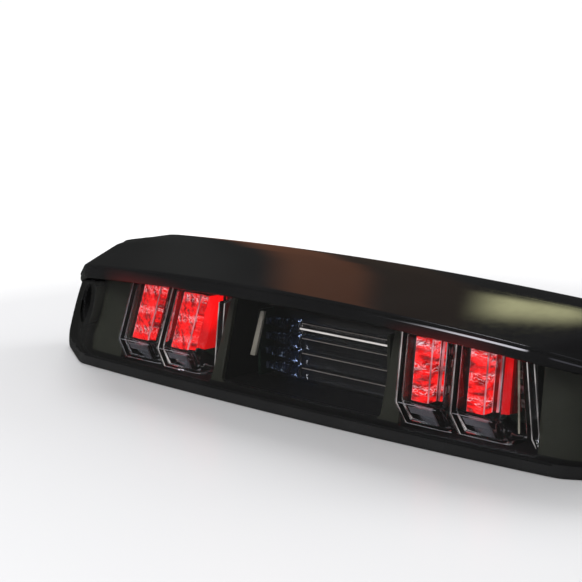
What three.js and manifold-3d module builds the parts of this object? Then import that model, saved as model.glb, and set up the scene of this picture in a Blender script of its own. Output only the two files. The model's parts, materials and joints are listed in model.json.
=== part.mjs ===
// Third brake light for the back of a pickup cab: a smoked lens under a gloss black visor,
// two pairs of red light towers, and a cargo lamp of stacked clear rods in the middle.
// Millimetres. +X runs along the lamp, the lens faces -Y, the mounting gasket faces +Y, +Z is up.
// The origin is under the middle of the lamp, at the height of its lower edge.
import * as THREE from 'three';
import { mergeVertices } from 'three/addons/utils/BufferGeometryUtils.js';
import Module from 'manifold-3d';

const wasm = await Module();
wasm.setup();

// ---- driving dimensions ----
const HALF_LENGTH = 200;        // middle to the outermost edge of the lens
const HALF_LENGTH_REAR = 186;   // the side walls draw in towards the mounting face
const SIDE_BREAK_Y = 6;         // where the side walls start to draw in
const REAR_Y = 32.7;            // back face of the housing
const LIP_Y = -36;              // front of the visor at the middle
const LENS_FOOT_Y = -34;        // front of the lens at its lower edge
const BOW = 2.2;                // how far the front bows back, per (100 mm)^2
const RAKE = 0.26;              // lens lean: mm back per mm up
const TOP_REAR_Z = 70;          // top of the visor at the back
const TOP_FRONT_Z = 63;         // top of the visor at its lip
const ARCH_REAR = 2.1;          // drop of the rear top edge towards the ends, per (100 mm)^2
const ARCH_FRONT = 2.75;        // the same for the lip
const CREASE = { x: 147.6, y: -31.2, z: 57.0 };     // visor corner where the end facet starts
const FACET_SLOPE_X = -0.656;   // the end facet falls towards the end
const FACET_SLOPE_Y = 0.408;    // and rises towards the back
const FACET_CROWN = 0.0001;     // it is very slightly domed from front to back
const LIP_END_Y = 8.6;          // where the lip runs out at the end of the lens
const BEND_X = 158;             // where the lens turns back, at its lower edge
const BEND_LEAN = 0.15;         // the bend leans inwards going up
const EDGE_FOOT_Y = -1.85;      // front of the lens at its outer edge, at the bottom
const EDGE_RAKE = 0.287;
const GAP = 0.3;                // clearance between neighbouring pieces
const SKIN = 3;                 // visor wall
const WALL = 2.4;               // housing wall
const LENS_WALL = 2.6;
const LENS_RIM = 8;             // depth of the lens's return rim
const SEAL = 1.2;
const SEAL_GAP = 0.6;           // clearance on both sides of the lens seal
const GASKET = { depth: 3, width: 6, edge: 2, top: 55, corner: 12 };
const LOWER_CORNER = 8;         // radius of the lower outer corners
const UPPER_CORNER = { across: 46, up: 30, z: 36 };  // elliptic upper corners, starting at height z
const SCREW = { x: 173, z: 29, recess: 10, hole: 3.2, seatY: 9, cup: 12.4, floor: 3, stem: 7 };
const TOWER = { width: 28.5, splay: 0.11, floorZ: 5.5, kneeZ: 17, topZ: 50, backY: -3, wall: 1.6 };
const STRIP = { width: 14, offset: 7, depth: 5 };
const FIN = { width: 4.3, frontY: -14.4, topZ: 46, chamfer: 5 };
const FRAME_GAP = 2;            // room round each pair inside its opening in the bezel
const BOARD_Y = 9;              // front face of the brake boards
const ROD = { left: -13, right: 47, y: -5, radius: 3.2, lowest: 15.5, pitch: 7.6, count: 4 };
const COLLIMATOR_LENGTH = 21;
const POCKET = { half: 54.5, backHalf: 52, backY: 3.4, floorZ: 5.5, topZ: 51, wall: 1.6 };

const BEZEL = { front: 9, back: 11 };   // depths behind the front of the lens
const SLEEVE = { inner: 3.2, outer: 4.9 };
const GROMMET = { x: -24, z: 34, bore: 4, hole: 6.6, flange: 9 };
const VENT = { x: 52, z: 38, hole: 2.5, cap: 4.5 };
const DRIVER = { half: 38, frontY: 11, backY: 12.6, z0: 10, z1: 44 };
const DRIVER_POSTS = [[-32, 15], [32, 15], [0, 39]];
const POST = { radius: 3.2, bore: 1.5, frontY: BOARD_Y + 1.6 + GAP };
const LED_HEIGHTS = [18, 31, 44];
const PAIRS = [
  { name: 'left', side: -1, edges: [-127.5, -95.5], finX: -62, screws: [[-114.5, 24.5], [-82, 37.5]] },
  { name: 'right', side: 1, edges: [60, 90.8], finX: 129.6, screws: [[78, 37.5], [109.3, 24.5]] },
];
for (const pair of PAIRS) pair.towers = pair.edges.map((x) => ({ x, side: pair.side }));
const POSTS = PAIRS.flatMap((pair) => pair.screws);

// ---- shapes of the outside ----
const sq = (x) => (x / 100) ** 2;
const smoothMax = (a, b, k) => 0.5 * (a + b + Math.hypot(a - b, k));

// Front surface of the lens at a point of its length and height.
function lensY(x, z) {
  const ax = Math.abs(x);
  const main = LENS_FOOT_Y + BOW * sq(ax) + RAKE * z;
  const bend = BEND_X - BEND_LEAN * z;
  const start = LENS_FOOT_Y + BOW * sq(bend) + RAKE * z;
  const edge = EDGE_FOOT_Y + EDGE_RAKE * z;
  const facet = start + ((ax - bend) * (edge - start)) / (HALF_LENGTH - bend);
  return smoothMax(main, facet, 1.2);
}

// Front edge of the visor lip.
function lipY(x) {
  const ax = Math.abs(x);
  if (ax <= CREASE.x) return LIP_Y + BOW * sq(ax);
  const start = LIP_Y + BOW * sq(CREASE.x);
  return start + ((ax - CREASE.x) * (LIP_END_Y - start)) / (HALF_LENGTH - 1.5 - CREASE.x);
}

// Top of the visor: a shallow roof, cut by one flat facet at each end.
function topZ(x, y) {
  const rear = TOP_REAR_Z - ARCH_REAR * sq(x);
  const front = TOP_FRONT_Z - ARCH_FRONT * sq(x);
  const lip = LIP_Y + BOW * sq(x);
  const roof = front + ((rear - front) * (y - lip)) / (REAR_Y - lip);
  const back = y - CREASE.y;
  const slope = FACET_SLOPE_X * (Math.abs(x) - CREASE.x) + FACET_SLOPE_Y * back;
  const facet = CREASE.z + slope - FACET_CROWN * back * back;
  return Math.min(roof, facet);
}

// Where the crease between roof and end facet crosses a section, as a Y.
function creaseY(x) {
  const low = lipY(x) + 2;
  let y = low;
  while (y < REAR_Y - 1 && Math.abs(x) > CREASE.x && topZ(x, y + 0.5) > topZ(x, y) + 0.15) y += 0.5;
  return Math.min(y, REAR_Y - 1);
}

const lipHeight = (x) => 8 - 3.4 * Math.max(0, (Math.abs(x) - CREASE.x) / (HALF_LENGTH - CREASE.x));

// Upper edge of the lens, tucked under the visor.
function lensTopZ(x) {
  let z = 50;
  for (let i = 0; i < 6; i += 1) z = topZ(x, lensY(x, z) + 2) - SKIN - 0.5;
  return z;
}

// ---- mesh helpers ----
function toManifold(geometry) {
  const g = geometry.clone();
  g.deleteAttribute('normal');
  g.deleteAttribute('uv');
  const m = mergeVertices(g, 1e-4);
  return new wasm.Manifold(new wasm.Mesh({
    numProp: 3,
    vertProperties: new Float32Array(m.attributes.position.array),
    triVerts: new Uint32Array(m.index.array),
  }));
}

function toGeometry(solid) {
  const m = solid.getMesh();
  const g = new THREE.BufferGeometry();
  g.setAttribute('position', new THREE.BufferAttribute(new Float32Array(m.vertProperties), 3));
  g.setIndex(new THREE.BufferAttribute(new Uint32Array(m.triVerts), 1));
  g.computeVertexNormals();
  return g;
}

// Solid through closed [y, z] outlines, one for each station along X, all with the same point count.
function loft(xs, outline) {
  const flat = xs.map((x) => outline(x).map(([y, z]) => new THREE.Vector2(y, z)));
  if (THREE.ShapeUtils.area(flat[0]) < 0) flat.forEach((ring) => ring.reverse());
  const n = flat[0].length;
  const index = [];
  for (let s = 0; s + 1 < xs.length; s += 1) {
    for (let i = 0; i < n; i += 1) {
      const a = s * n + i;
      const b = s * n + ((i + 1) % n);
      index.push(a, b, a + n, b, b + n, a + n);
    }
  }
  for (const [s, facing] of [[0, -1], [xs.length - 1, 1]]) {
    for (const tri of THREE.ShapeUtils.triangulateShape(flat[s], [])) {
      const turn = THREE.ShapeUtils.area(tri.map((i) => flat[s][i]));
      if (turn * facing < 0) tri.reverse();
      index.push(...tri.map((i) => s * n + i));
    }
  }
  const g = new THREE.BufferGeometry();
  const points = flat.flatMap((ring, s) => ring.flatMap((p) => [xs[s], p.x, p.y]));
  g.setAttribute('position', new THREE.Float32BufferAttribute(points, 3));
  g.setIndex(index);
  return toManifold(g);
}

// Stations along X: even steps in the middle, closer ones round the swept ends.
function stations(half, step = 28) {
  const xs = [half];
  for (const x of [194, 185, 176, 168, 161, 155, CREASE.x, 140]) if (x < half - 1) xs.push(x);
  for (let x = 140 - step; x > 1; x -= step) if (x < half - 1) xs.push(x);
  return [...xs.map((x) => -x), 0, ...xs.reverse()];
}

// A flat outline in [x, z], extruded along Y from y0 to y1.
function prismY(points, y0, y1) {
  const shape = new THREE.Shape(points.map(([x, z]) => new THREE.Vector2(x, z)));
  const g = new THREE.ExtrudeGeometry(shape, { depth: y1 - y0, bevelEnabled: false });
  g.rotateX(Math.PI / 2);
  g.translate(0, y1, 0);
  return g;
}

// A flat outline in [x, y], extruded along Z from z0 to z1.
function prismZ(points, z0, z1) {
  const shape = new THREE.Shape(points.map(([x, y]) => new THREE.Vector2(x, y)));
  const g = new THREE.ExtrudeGeometry(shape, { depth: z1 - z0, bevelEnabled: false });
  g.translate(0, 0, z0);
  return g;
}

// A profile in [y, z], extruded along X from x0 to x1.
const prismX = (points, x0, x1) => loft([x0, x1], () => points);

function box(x0, x1, y0, y1, z0, z1) {
  const g = new THREE.BoxGeometry(x1 - x0, y1 - y0, z1 - z0);
  g.translate((x0 + x1) / 2, (y0 + y1) / 2, (z0 + z1) / 2);
  return g;
}

const boxSolid = (...sides) => toManifold(box(...sides));

// Cylinder along Y.
function cylY(r, x, z, y0, y1, segments = 24) {
  const g = new THREE.CylinderGeometry(r, r, y1 - y0, segments);
  g.translate(x, (y0 + y1) / 2, z);
  return toManifold(g);
}

// Turned piece round an axis along Y: profile points are [radius, y].
function turnedY(profile, x, z, segments = 24) {
  const g = new THREE.LatheGeometry(profile.map(([r, y]) => new THREE.Vector2(r, y)), segments);
  g.translate(x, 0, z);
  return g;
}

// ---- envelopes that the outer pieces share ----
const EVERY = stations(HALF_LENGTH + 1);

function arc(cx, cz, rx, rz, from, to, steps) {
  const points = [];
  for (let i = 0; i <= steps; i += 1) {
    const a = ((from + ((to - from) * i) / steps) * Math.PI) / 180;
    points.push([cx + rx * Math.cos(a), cz + rz * Math.sin(a)]);
  }
  return points;
}

// Front view outline of the lamp, drawn in by inset.
function frontOutline(inset) {
  const half = HALF_LENGTH - inset;
  const low = LOWER_CORNER - inset;
  const { across, up, z } = UPPER_CORNER;
  const right = [
    ...arc(half - low, inset + low, low, low, -90, 0, 6),
    ...arc(half - across + inset, z, across - inset, up - inset, 0, 90, 9),
    [half - across + inset, 90],
  ];
  const left = right.map(([x, z]) => [-x, z]).reverse();
  return [...right, ...left];
}

// Room inside the side walls and rounded corners, drawn in by inset.
function envelope(inset) {
  const side = HALF_LENGTH - inset;
  const rear = HALF_LENGTH_REAR - inset;
  const plan = [
    [-side, -80], [side, -80], [side, SIDE_BREAK_Y], [rear, REAR_Y], [rear, REAR_Y + 20],
    [-rear, REAR_Y + 20], [-rear, REAR_Y], [-side, SIDE_BREAK_Y],
  ];
  return toManifold(prismZ(plan, -5, 95)).intersect(toManifold(prismY(frontOutline(inset), -80, 60)));
}

// Layer between two depths behind the front of the lens.
function layer(d0, d1) {
  const levels = [-4, 16, 36, 56, 76];
  return loft(EVERY, (x) => [
    ...levels.map((z) => [lensY(x, z) + d0, z]),
    ...levels.map((z) => [lensY(x, z) + d1, z]).reverse(),
  ]);
}

// Room inside the lens's opening, drawn in by inset.
function mouth(inset) {
  const room = loft(EVERY, (x) => [
    [-70, inset], [70, inset], [70, lensTopZ(x) - inset], [-70, lensTopZ(x) - inset],
  ]);
  return room.intersect(envelope(inset));
}

// Everything above the underside of the visor, and round its lip, with clearance.
function visorRoom(clearance) {
  return loft(EVERY, (x) => {
    const y = lipY(x);
    const foot = topZ(x, y) - lipHeight(x) - clearance;
    const crease = Math.max(creaseY(x), y + 5.5);
    const under = (at) => topZ(x, at) - SKIN - clearance;
    return [
      [70, 110], [y - 20, 110], [y - 20, foot], [y + 3.2 + clearance, foot],
      [y + 4 + clearance, under(y + 4 + clearance)], [crease, under(crease)],
      [REAR_Y - 0.5, under(REAR_Y - 0.5)], [70, under(REAR_Y - 0.5)],
    ];
  });
}

// ---- outer pieces ----
function visor() {
  const shell = loft(EVERY, (x) => {
    const y = lipY(x);
    const top = topZ(x, y);
    const foot = top - lipHeight(x);
    const crease = Math.max(creaseY(x), y + 5);
    const under = (at) => topZ(x, at) - SKIN;
    return [
      [REAR_Y, topZ(x, REAR_Y)], [crease, topZ(x, crease)], [y + 1.6, topZ(x, y + 1.6)],
      [y + 0.5, top - 0.5], [y, top - 1.8], [y + 0.3, foot + 0.6], [y + 0.9, foot], [y + 3.2, foot],
      [y + 4, under(y + 4)], [Math.max(crease, y + 5.5), under(Math.max(crease, y + 5.5))],
      [REAR_Y, under(REAR_Y)],
    ];
  });
  return shell.intersect(envelope(0));
}

function outerLens() {
  const tray = layer(0, LENS_RIM).intersect(mouth(0));
  const hollow = layer(LENS_WALL, LENS_RIM + 2).intersect(mouth(2.2));
  let lens = tray.subtract(hollow).subtract(visorRoom(GAP));
  for (const side of [-1, 1]) {
    lens = lens.subtract(cylY(SCREW.recess + GAP, side * SCREW.x, SCREW.z, -60, 40, 32));
  }
  return lens;
}

function lensSeal() {
  const depth = LENS_RIM + SEAL_GAP;
  return layer(depth, depth + SEAL).intersect(mouth(0.4).subtract(mouth(2))).subtract(visorRoom(GAP));
}

function rearHousing() {
  const front = LENS_RIM + SEAL + 2 * SEAL_GAP;
  const behindLens = layer(front, front + 120);
  const backPlane = boxSolid(-220, 220, -80, REAR_Y, -5, 95);
  let shell = envelope(0).intersect(behindLens).intersect(backPlane).subtract(visorRoom(GAP));
  const room = envelope(WALL).intersect(boxSolid(-220, 220, -80, REAR_Y - 3, -5, 95));
  shell = shell.subtract(room.subtract(visorRoom(GAP + WALL)));
  for (const side of [-1, 1]) {
    shell = shell.subtract(cylY(SLEEVE.outer + GAP, side * SCREW.x, SCREW.z, SCREW.seatY, REAR_Y + 1, 24))
      .subtract(cylY(SCREW.cup + GAP, side * SCREW.x, SCREW.z, -40, SCREW.seatY + SCREW.floor + GAP, 32));
  }
  for (const [x, z] of POSTS) {
    shell = shell.add(cylY(POST.radius, x, z, POST.frontY, REAR_Y - 1, 12))
      .subtract(cylY(POST.bore, x, z, POST.frontY - 1, POST.frontY + 13, 10));
  }
  for (const [x, z] of DRIVER_POSTS) {
    shell = shell.add(cylY(POST.radius, x, z, DRIVER.backY + GAP, REAR_Y - 1, 12))
      .subtract(cylY(POST.bore, x, z, DRIVER.backY - 1, DRIVER.backY + 11, 10));
  }
  return shell
    .subtract(cylY(GROMMET.hole, GROMMET.x, GROMMET.z, REAR_Y - 8, REAR_Y + 2))
    .subtract(cylY(VENT.hole, VENT.x, VENT.z, REAR_Y - 8, REAR_Y + 2));
}

/** Deep cup that takes the head of a mounting screw, on a stem that stands on the back wall. */
function screwCup(side) {
  const x = side * SCREW.x;
  const floorY = SCREW.seatY + SCREW.floor;
  return cylY(SCREW.cup, x, SCREW.z, -40, floorY, 32)
    .add(cylY(SCREW.stem, x, SCREW.z, floorY - 1, REAR_Y - 3 - GAP, 32))
    .intersect(layer(LENS_WALL + GAP, 120))
    .subtract(cylY(SCREW.recess, x, SCREW.z, -60, SCREW.seatY, 32))
    .subtract(cylY(SLEEVE.outer + GAP, x, SCREW.z, SCREW.seatY - 1, REAR_Y, 24));
}

// ---- light pieces ----
// Left and right edges of a tower at a height: it leans outwards going down.
const lean = (side, z) => side * TOWER.splay * (TOWER.topZ - z);

// Front of a tower at a height: down to the knee it follows the lens, then it draws back.
function towerFront(tower, z) {
  const outer = Math.max(Math.abs(tower.x), Math.abs(tower.x + TOWER.width)) + 4;
  return lensY(outer, z) + LENS_WALL + 1;
}

function towerProfile(tower, inset) {
  const top = TOWER.topZ - inset;
  const floor = TOWER.floorZ + inset;
  return [
    [towerFront(tower, top) + inset, top],
    [towerFront(tower, TOWER.kneeZ) + inset, TOWER.kneeZ + inset * 0.4],
    [towerFront(tower, TOWER.kneeZ) + 6 + inset, floor],
    [TOWER.backY, floor],
    [TOWER.backY, top],
  ];
}

function leaning(solid, side) {
  const g = toGeometry(solid);
  const shear = new THREE.Matrix4().set(
    1, 0, -side * TOWER.splay, side * TOWER.splay * TOWER.topZ,
    0, 1, 0, 0,
    0, 0, 1, 0,
    0, 0, 0, 1,
  );
  return g.applyMatrix4(shear);
}

function towerCover(tower) {
  const outer = prismX(towerProfile(tower, 0), tower.x, tower.x + TOWER.width);
  const inner = towerProfile(tower, TOWER.wall);
  inner[3] = [TOWER.backY + 5, inner[3][1]];
  inner[4] = [TOWER.backY + 5, inner[4][1]];
  const room = prismX(inner, tower.x + TOWER.wall, tower.x + TOWER.width - TOWER.wall);
  return leaning(outer.subtract(room), tower.side);
}

function towerOptic(tower) {
  const x = tower.x + STRIP.offset;
  const top = TOWER.topZ - TOWER.wall - 1;
  const front = (z) => towerFront(tower, z) + TOWER.wall + 0.8;
  const low = TOWER.kneeZ + 1.5;
  const slab = prismX([
    [front(top), top], [front(low), low], [front(low) + STRIP.depth, low], [front(top) + STRIP.depth, top],
  ], x, x + STRIP.width);
  return leaning(slab, tower.side);
}

// Upright plate that closes the right-hand end of a pair.
function endFin(pair) {
  const { width, frontY, topZ: top, chamfer } = FIN;
  const profile = [
    [frontY, top], [frontY, TOWER.floorZ + chamfer], [frontY + chamfer / 2, TOWER.floorZ],
    [TOWER.backY, TOWER.floorZ], [TOWER.backY, top],
  ];
  return leaning(prismX(profile, pair.finX, pair.finX + width), pair.side);
}

// A block with four corners [x, z] at one depth and four at another.
function taperedBlock(front, back) {
  const points = [...front.map(([x, z, y]) => [x, y, z]), ...back.map(([x, z, y]) => [x, y, z])];
  const index = [
    0, 1, 2, 0, 2, 3, 4, 6, 5, 4, 7, 6,
    0, 4, 5, 0, 5, 1, 1, 5, 6, 1, 6, 2, 2, 6, 7, 2, 7, 3, 3, 7, 4, 3, 4, 0,
  ];
  const g = new THREE.BufferGeometry();
  g.setAttribute('position', new THREE.Float32BufferAttribute(points.flat(), 3));
  g.setIndex(index);
  return toManifold(g);
}

function cargoPocket() {
  const frontY = (z) => LENS_FOOT_Y + BOW * sq(POCKET.half) + BEZEL.back + GAP + RAKE * z;
  const corners = (x, z0, z1, y0, y1) => [[-x, z0, y0], [x, z0, y0], [x, z1, y1], [-x, z1, y1]];
  const { half, backHalf, floorZ, topZ: top, wall, backY } = POCKET;
  const outer = taperedBlock(
    corners(half, floorZ, top, frontY(floorZ), frontY(top)),
    corners(backHalf, floorZ + 1, top - 1, backY, backY),
  );
  const inner = taperedBlock(
    corners(half - wall, floorZ + wall, top - wall, frontY(floorZ) - 1, frontY(top) - 1),
    corners(backHalf - wall, floorZ + 1 + wall, top - 1 - wall, backY - wall, backY - wall),
  );
  return outer.subtract(inner);
}

function innerBezel() {
  let plate = layer(BEZEL.front, BEZEL.back).intersect(mouth(3)).subtract(visorRoom(GAP + 2));
  for (const side of [-1, 1]) {
    plate = plate.subtract(cylY(SCREW.cup + 0.6, side * SCREW.x, SCREW.z, -60, 60, 32));
  }
  for (const pair of PAIRS) {
    const left = pair.towers[0].x - FRAME_GAP / 2;
    const right = pair.finX + FIN.width + FRAME_GAP;
    const outline = [[TOWER.floorZ - 0.6, 0], [TOWER.topZ + 1, 1]].flatMap(([z, high]) => {
      const shift = lean(pair.side, z);
      const edges = [[left + shift, z], [right + shift, z]];
      return high ? edges.reverse() : edges;
    });
    plate = plate.subtract(toManifold(prismY(outline, -60, 60)));
  }
  const { half, floorZ, topZ: top, wall } = POCKET;
  return plate.subtract(boxSolid(-half + wall, half - wall, -60, 60, floorZ + wall, top - wall));
}

function ledBody(x, y, z) {
  const base = box(x - 1.7, x + 1.7, y - 1.0, y, z - 1.7, z + 1.7);
  const dome = new THREE.SphereGeometry(1.3, 8, 6);
  dome.translate(x, y - 1.0, z);
  return toManifold(base).add(toManifold(dome));
}

function brakeBoard(pair) {
  const x0 = pair.towers[0].x + 1;
  const x1 = pair.towers[1].x + TOWER.width - 1;
  let board = boxSolid(x0, x1, BOARD_Y, BOARD_Y + 1.6, 9, 50);
  for (const [x, z] of pair.screws) board = board.subtract(cylY(1.7, x, z, BOARD_Y - 1, BOARD_Y + 3, 12));
  return board;
}

// Pan-head screw along +Y, its head in front of frontY.
function screw(x, z, frontY, length) {
  const profile = [
    [0, frontY - 2], [1.9, frontY - 1.7], [2.5, frontY - 0.6], [2.5, frontY - GAP], [1.1, frontY - GAP],
    [1.1, frontY + length - 1], [0, frontY + length],
  ];
  return turnedY(profile, x, z, 12);
}

// Clear rod along X with slightly rounded ends.
function rod(z) {
  const length = ROD.right - ROD.left;
  const r = ROD.radius;
  const profile = [[0, 0], [r - 0.5, 0], [r, 0.5], [r, length - 0.5], [r - 0.5, length], [0, length]];
  const g = new THREE.LatheGeometry(profile.map(([a, b]) => new THREE.Vector2(a, b)), 14);
  g.rotateZ(-Math.PI / 2);
  g.translate(ROD.left, ROD.y, z);
  return g;
}

// Faceted collimator that widens from the light source to the rod.
function collimator(z) {
  const length = COLLIMATOR_LENGTH;
  const profile = [
    [0, 1.2], [1.3, 0], [1.9, 0], [3.5, 12], [3.5, length - 1], [3.1, length], [0, length],
  ];
  const g = new THREE.LatheGeometry(profile.map(([a, b]) => new THREE.Vector2(a, b)), 8);
  g.rotateZ(-Math.PI / 2);
  g.translate(ROD.left - GAP - COLLIMATOR_LENGTH, ROD.y, z);
  return g;
}

function cargoLed(z) {
  const x = ROD.left - GAP - COLLIMATOR_LENGTH - 1;
  return box(x - 1.4, x, ROD.y - 1.6, ROD.y + 1.6, z - 1.6, z + 1.6);
}

// Upright plate that stands across the stack of rods, reaching forward of their axes.
function acrossRods(x, thickness, forward) {
  const top = ROD.lowest + (ROD.count - 1) * ROD.pitch + 6;
  return box(x, x + thickness, ROD.y - forward, ROD.y + 5.5, ROD.lowest - 5, top);
}

// ---- small inner and rear pieces ----
// Closed rubber ring between the housing and the cab, following the back of the housing.
function mountingGasket() {
  const ring = (inset) => {
    const half = HALF_LENGTH_REAR - GASKET.edge - inset;
    const top = GASKET.top - inset;
    const low = GASKET.edge + inset;
    const r = GASKET.corner - inset / 2;
    const right = [...arc(half - r, low + r, r, r, -90, 0, 5), ...arc(half - r, top - r, r, r, 0, 90, 5)];
    return [...right, ...right.map(([x, z]) => [-x, z]).reverse()];
  };
  const y0 = REAR_Y + GAP;
  return toManifold(prismY(ring(0), y0, y0 + GASKET.depth)).subtract(
    toManifold(prismY(ring(GASKET.width), y0 - 1, y0 + GASKET.depth + 1)),
  );
}

function screwSleeve(side) {
  const { inner, outer } = SLEEVE;
  const y0 = SCREW.seatY;
  const y1 = REAR_Y;
  return turnedY([[inner, y0], [outer, y0], [outer, y1], [inner, y1], [inner, y0]], side * SCREW.x, SCREW.z);
}

function wireGrommet() {
  const { bore, hole, flange, x, z } = GROMMET;
  const inside = REAR_Y - 3 - GAP;
  const outside = REAR_Y + GAP;
  const neck = hole - GAP;
  const profile = [
    [bore, inside - 1.6], [flange - 0.6, inside - 1.6], [flange, inside - 1], [flange, inside],
    [neck, inside], [neck, outside], [flange, outside], [flange, outside + 1], [flange - 1.5, outside + 1.8],
    [bore, outside + 1.8], [bore, inside - 1.6],
  ];
  return turnedY(profile, x, z);
}

function breatherVent() {
  const { hole, cap, x, z } = VENT;
  const outside = REAR_Y + GAP;
  const stem = hole - GAP;
  const profile = [
    [0, REAR_Y - 5], [stem - 0.4, REAR_Y - 5], [stem, REAR_Y - 4.4], [stem, outside], [cap, outside],
    [cap, outside + 1.2], [cap - 0.8, outside + 2], [0, outside + 2],
  ];
  return turnedY(profile, x, z, 16);
}

function driverBoard() {
  let board = boxSolid(-DRIVER.half, DRIVER.half, DRIVER.frontY, DRIVER.backY, DRIVER.z0, DRIVER.z1);
  for (const [x, z] of DRIVER_POSTS) {
    board = board.subtract(cylY(1.7, x, z, DRIVER.frontY - 1, DRIVER.backY + 1, 12));
  }
  return board;
}

// Open box that the lead's plug goes into, with its mouth towards the back.
function connectorHeader() {
  const y0 = DRIVER.backY + GAP;
  const shell = boxSolid(-9, 9, y0, y0 + 9, 18, 28);
  return shell.subtract(boxSolid(-7.8, 7.8, y0 + 1.5, y0 + 10, 19.2, 26.8));
}

// Wire along a smooth curve through the given points.
function wire(points, radius = 1.1, steps = 9) {
  const path = new THREE.CatmullRomCurve3(points.map((p) => new THREE.Vector3(...p)));
  const section = new THREE.Shape();
  section.absarc(0, 0, radius, 0, 2 * Math.PI);
  const sweep = { extrudePath: path, steps, curveSegments: 4, bevelEnabled: false };
  return new THREE.ExtrudeGeometry(section, sweep);
}

// ---- assembly ----
const MATERIALS = {
  gloss_black: new THREE.MeshStandardMaterial({ color: 0x0a0a0b, roughness: 0.12, metalness: 0 }),
  smoked_lens: new THREE.MeshStandardMaterial({
    color: 0x1a1a1c, roughness: 0.06, metalness: 0, transparent: true, opacity: 0.5,
  }),
  housing_black: new THREE.MeshStandardMaterial({ color: 0x121213, roughness: 0.5, metalness: 0 }),
  bezel_black: new THREE.MeshStandardMaterial({ color: 0x1b1b1a, roughness: 0.35, metalness: 0 }),
  clear_plastic: new THREE.MeshStandardMaterial({
    color: 0xe8eaee, roughness: 0.05, metalness: 0, transparent: true, opacity: 0.35,
  }),
  red_optic: new THREE.MeshStandardMaterial({
    color: 0xff1a14, roughness: 0.15, metalness: 0, emissive: 0xff0a08,
  }),
  rubber: new THREE.MeshStandardMaterial({ color: 0x151515, roughness: 0.85, metalness: 0 }),
  board: new THREE.MeshStandardMaterial({ color: 0x16361f, roughness: 0.5, metalness: 0 }),
  led_white: new THREE.MeshStandardMaterial({ color: 0xe9e6d8, roughness: 0.4, metalness: 0 }),
  steel: new THREE.MeshStandardMaterial({ color: 0xb0b2b6, roughness: 0.35, metalness: 1 }),
  beige_plastic: new THREE.MeshStandardMaterial({ color: 0xc9c5b6, roughness: 0.4, metalness: 0 }),
  wire_black: new THREE.MeshStandardMaterial({ color: 0x18181a, roughness: 0.6, metalness: 0 }),
};

const lamp = new THREE.Group();

function add(name, shape, material) {
  const mesh = new THREE.Mesh(shape.isBufferGeometry ? shape : toGeometry(shape), MATERIALS[material]);
  mesh.name = name;
  lamp.add(mesh);
}

add('visor', visor(), 'gloss_black');
add('outer_lens', outerLens(), 'smoked_lens');
add('lens_seal', lensSeal(), 'rubber');
add('rear_housing', rearHousing(), 'housing_black');
add('inner_bezel', innerBezel(), 'bezel_black');
add('cargo_pocket', cargoPocket(), 'bezel_black');
add('mounting_gasket', mountingGasket(), 'rubber');
add('wire_grommet', wireGrommet(), 'rubber');
add('breather_vent', breatherVent(), 'rubber');
add('screw_cup_left', screwCup(-1), 'housing_black');
add('screw_cup_right', screwCup(1), 'housing_black');
add('screw_sleeve_left', screwSleeve(-1), 'steel');
add('screw_sleeve_right', screwSleeve(1), 'steel');

for (const pair of PAIRS) {
  add(`brake_board_${pair.name}`, brakeBoard(pair), 'board');
  add(`end_fin_${pair.name}`, endFin(pair), 'clear_plastic');
  pair.screws.forEach(([x, z], i) => {
    add(`board_screw_${pair.name}_${i + 1}`, screw(x, z, BOARD_Y, 10), 'steel');
  });
  pair.towers.forEach((tower, i) => {
    const tag = `${pair.name}_${i + 1}`;
    add(`tower_cover_${tag}`, towerCover(tower), 'clear_plastic');
    add(`tower_optic_${tag}`, towerOptic(tower), 'red_optic');
    LED_HEIGHTS.forEach((z, k) => {
      const x = tower.x + STRIP.offset + STRIP.width / 2 + lean(pair.side, z);
      add(`brake_led_${tag}_${k + 1}`, ledBody(x, BOARD_Y - GAP, z), 'led_white');
    });
  });
}

for (let i = 0; i < ROD.count; i += 1) {
  const z = ROD.lowest + i * ROD.pitch;
  add(`cargo_rod_${i + 1}`, rod(z), 'clear_plastic');
  add(`cargo_collimator_${i + 1}`, collimator(z), 'clear_plastic');
  add(`cargo_led_${i + 1}`, cargoLed(z), 'led_white');
}
add('cargo_board', acrossRods(ROD.left - COLLIMATOR_LENGTH - 4.6, 1.6, 7), 'beige_plastic');
add('rod_end_plate', acrossRods(ROD.right + GAP, 1.8, 6), 'bezel_black');
add('driver_board', driverBoard(), 'board');
add('connector_header', connectorHeader(), 'housing_black');
add('harness_left', wire([[-30, 15.5, 33], [-45, 17, 36], [-58, 15, 38], [-70, 12.5, 38]]), 'wire_black');
add('harness_right', wire([[30, 15.5, 33], [45, 17, 36], [58, 15, 38], [70, 12.5, 38]]), 'wire_black');
add('harness_cargo', wire([[-20, 15.5, 40], [-25, 17, 47], [-30, 12, 54], [-36, 5, 55]]), 'wire_black');

export default lamp;
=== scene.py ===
"""Looks of the third brake light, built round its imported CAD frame. Metres, +Z up, the lens faces -Y."""
import json
import math

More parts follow.
